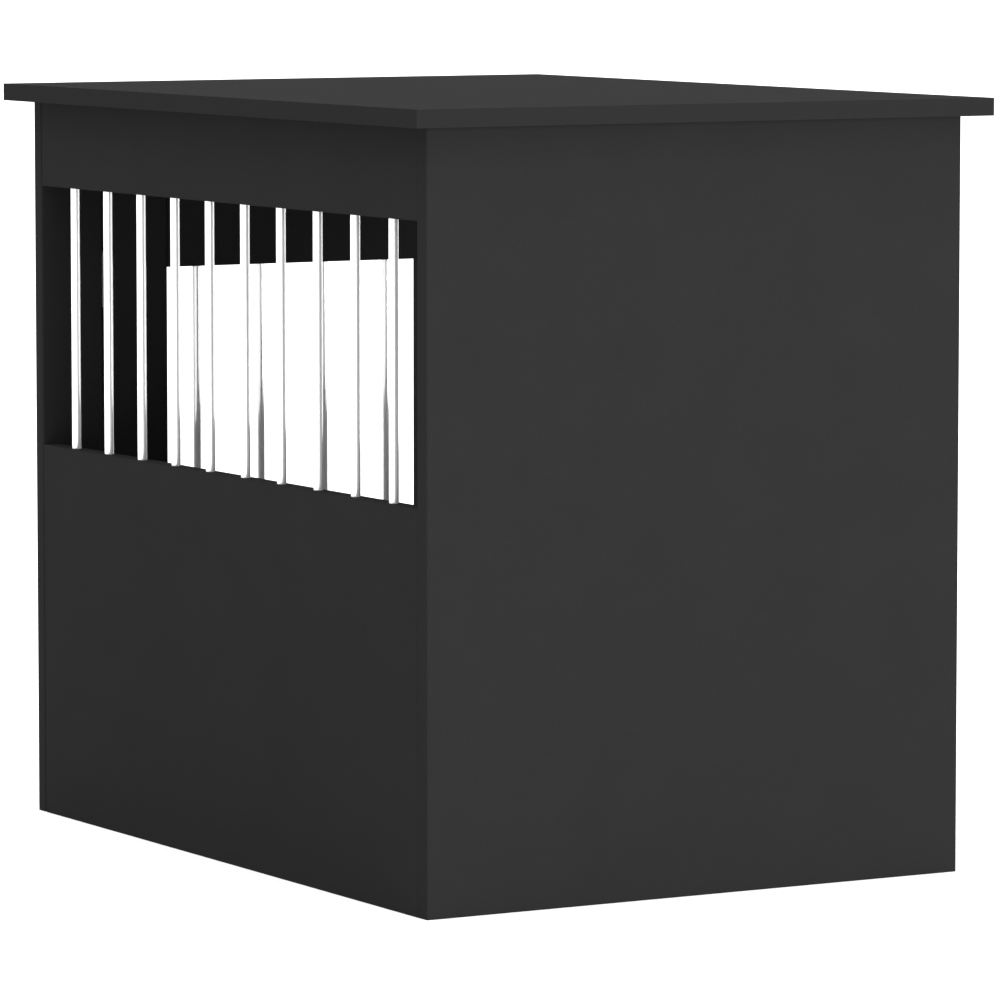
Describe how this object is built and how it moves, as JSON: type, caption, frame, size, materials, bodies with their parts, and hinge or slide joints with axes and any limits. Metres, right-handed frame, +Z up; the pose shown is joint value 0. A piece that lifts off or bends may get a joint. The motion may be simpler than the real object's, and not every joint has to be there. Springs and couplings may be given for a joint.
{
  "type": "dog crate end table",
  "caption": "Board end table on a dog crate: overhanging top, side windows with upright metal rods, plain back, and a barred front door on butt hinges with a slide bolt.",
  "frame": {"origin": "on the floor, under the middle of the top", "axes": "+Z up, -Y towards the door, +X to the right for someone who faces the door"},
  "size_m": [0.55, 0.75, 0.65],
  "materials": {
    "board": "black melamine on chipboard, satin",
    "rod": "bright chrome plate on steel",
    "hinge": "nickel-plated steel, satin",
    "latch": "nickel-plated steel, satin",
    "screw": "zinc-plated steel"
  },
  "bodies": {
    "frame": {"top_panel": "board", "bottom_panel": "board", "back_panel": "board", "left_side_rail": "board", "left_side_panel": "board", "right_side_rail": "board", "right_side_panel": "board", "front_left_stile": "board", "front_right_stile": "board", "front_top_rail": "board", "front_bottom_rail": "board", "left_rod_01": "rod", "left_rod_02": "rod", "left_rod_03": "rod", "left_rod_04": "rod", "left_rod_05": "rod", "left_rod_06": "rod", "left_rod_07": "rod", "left_rod_08": "rod", "left_rod_09": "rod", "left_rod_10": "rod", "right_rod_01": "rod", "right_rod_02": "rod", "right_rod_03": "rod", "right_rod_04": "rod", "right_rod_05": "rod", "right_rod_06": "rod", "right_rod_07": "rod", "right_rod_08": "rod", "right_rod_09": "rod", "right_rod_10": "rod", "upper_hinge_frame_leaf": "hinge", "upper_hinge_pin": "hinge", "lower_hinge_frame_leaf": "hinge", "lower_hinge_pin": "hinge", "latch_keeper": "latch", "keeper_screw_1": "screw", "keeper_screw_2": "screw"},
    "door": {"door_hinge_stile": "board", "door_latch_stile": "board", "door_top_rail": "board", "door_bottom_rail": "board", "door_rod_1": "rod", "door_rod_2": "rod", "door_rod_3": "rod", "door_rod_4": "rod", "upper_hinge_door_leaf": "hinge", "lower_hinge_door_leaf": "hinge", "latch_plate": "latch", "latch_screw_1": "screw", "latch_screw_2": "screw", "latch_screw_3": "screw", "latch_screw_4": "screw"},
    "bolt": {"latch_bolt": "latch"}
  },
  "joints": [
    {"name": "door_swing", "type": "hinge", "parent": "frame", "child": "door", "pos_m": [0.1935, -0.3583, 0.31], "axis": [0, 0, 1], "range_deg": [0, 180]},
    {"name": "bolt_throw", "type": "slide", "parent": "door", "child": "bolt", "axis": [-1, 0, 0], "range_m": [0, 0.018]}
  ]
}
